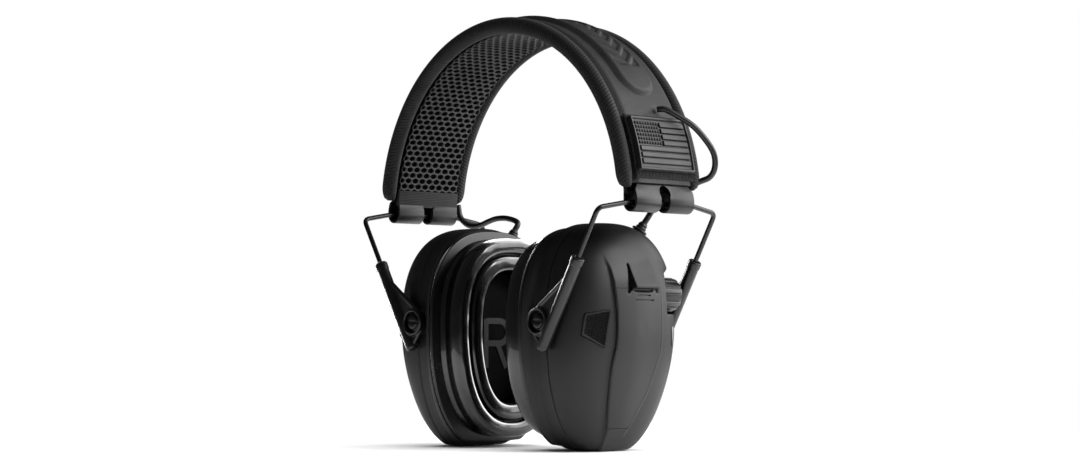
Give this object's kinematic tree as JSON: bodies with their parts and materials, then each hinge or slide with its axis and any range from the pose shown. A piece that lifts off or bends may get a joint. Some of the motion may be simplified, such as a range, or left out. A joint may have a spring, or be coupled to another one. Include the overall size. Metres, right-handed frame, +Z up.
{
  "type": "earmuff hearing protector",
  "caption": "Folding electronic earmuff hearing protector: padded sprung headband, wire yokes with sliding arms, two cups with gel ear seals, volume wheel and battery door.",
  "frame": {"origin": "on the surface that the two cups stand on, midway between them", "axes": "+X to the wearer's left, -Y to the front, +Z up along the headband's middle line"},
  "size_m": [0.1765, 0.0848, 0.2051],
  "materials": {
    "steel": "satin black enamel on spring steel",
    "skin": "fine-grained matte black outer skin",
    "foam": "open-cell black foam",
    "mesh": "black 3-D spacer mesh",
    "twill": "black twill tape",
    "loop_fabric": "black hook-and-loop pile",
    "patch_rubber": "dark grey moulded rubber, matte",
    "wire": "gloss black enamel on spring wire",
    "arm_plastic": "satin black moulded plastic",
    "screw": "satin black",
    "shell": "soft-touch matte black moulded plastic",
    "rim": "satin black moulded plastic",
    "gel": "glossy black film over gel",
    "cloth": "black acoustic cloth",
    "speaker": "black",
    "board": "green laminate",
    "grille": "black woven mesh",
    "cable_rubber": "satin black",
    "knob": "ribbed black rubber",
    "battery": "plain silver sleeve"
  },
  "bodies": {
    "headband": {"crown_pad": "skin", "front_edge_roll": "twill", "headband_lead_loop": "cable_rubber", "inner_pad": "foam", "left_lead": "cable_rubber", "left_liner_strip": "twill", "left_loop_panel": "loop_fabric", "left_patch": "patch_rubber", "mesh_liner": "mesh", "outer_cover": "skin", "rear_edge_roll": "twill", "right_lead": "cable_rubber", "right_liner_strip": "twill", "right_loop_panel": "loop_fabric", "right_patch": "patch_rubber", "spring_band": "steel"},
    "left_yoke": {"left_yoke_wire": "wire"},
    "left_arms": {"left_front_arm": "arm_plastic", "left_rear_arm": "arm_plastic"},
    "left_cup": {"left_base_shell": "shell", "left_battery_front": "battery", "left_battery_rear": "battery", "left_cable_grommet": "cable_rubber", "left_circuit_board": "board", "left_ear_cloth": "cloth", "left_foam_insert": "foam", "left_front_pivot_screw": "screw", "left_gel_cushion": "gel", "left_mic_grille": "grille", "left_microphone": "speaker", "left_outer_shell": "shell", "left_potentiometer": "board", "left_rear_pivot_screw": "screw", "left_rim_plate": "rim", "left_speaker": "speaker"},
    "right_yoke": {"right_yoke_wire": "wire"},
    "right_arms": {"right_front_arm": "arm_plastic", "right_rear_arm": "arm_plastic"},
    "right_cup": {"right_base_shell": "shell", "right_cable_grommet": "cable_rubber", "right_circuit_board": "board", "right_ear_cloth": "cloth", "right_foam_insert": "foam", "right_front_pivot_screw": "screw", "right_gel_cushion": "gel", "right_mic_grille": "grille", "right_microphone": "speaker", "right_outer_shell": "shell", "right_rear_pivot_screw": "screw", "right_rim_plate": "rim", "right_speaker": "speaker"},
    "volume_knob": {"left_volume_knob": "knob"},
    "battery_door": {"left_battery_door": "shell"}
  },
  "joints": [
    {"name": "left_fold", "type": "hinge", "parent": "headband", "child": "left_yoke", "pos_m": [0.0795, 0, 0.1126], "axis": [0, 1, 0], "range_deg": [-30, 40], "deforming": ["left_lead"]},
    {"name": "left_height", "type": "slide", "parent": "left_yoke", "child": "left_arms", "axis": [0.4863, 0, 0.8738], "range_m": [-0.02, 0.02]},
    {"name": "left_cup_tilt", "type": "hinge", "parent": "left_arms", "child": "left_cup", "pos_m": [0.042, 0, 0.05925], "axis": [0, 1, 0], "range_deg": [-40, 30]},
    {"name": "right_fold", "type": "hinge", "parent": "headband", "child": "right_yoke", "pos_m": [-0.0795, 0, 0.1126], "axis": [0, -1, 0], "range_deg": [-30, 40], "deforming": ["right_lead"]},
    {"name": "right_height", "type": "slide", "parent": "right_yoke", "child": "right_arms", "axis": [-0.4863, 0, 0.8738], "range_m": [-0.02, 0.02]},
    {"name": "right_cup_tilt", "type": "hinge", "parent": "right_arms", "child": "right_cup", "pos_m": [-0.042, 0, 0.05925], "axis": [0, -1, 0], "range_deg": [-40, 30]},
    {"name": "volume_turn", "type": "hinge", "parent": "left_cup", "child": "volume_knob", "pos_m": [0.056, 0, 0.072], "axis": [0, 1, 0], "range_deg": [0, 270]},
    {"name": "battery_door_open", "type": "hinge", "parent": "left_cup", "child": "battery_door", "pos_m": [0.05823, 0, 0.0103], "axis": [0, 1, 0], "range_deg": [0, 65]}
  ],
  "couplings": [
    {"joint": "left_height", "follows": "left_fold", "m_per_rad": 0.0286},
    {"joint": "left_cup_tilt", "follows": "left_fold", "ratio": -1},
    {"joint": "right_height", "follows": "right_fold", "m_per_rad": 0.0286},
    {"joint": "right_cup_tilt", "follows": "right_fold", "ratio": -1}
  ]
}
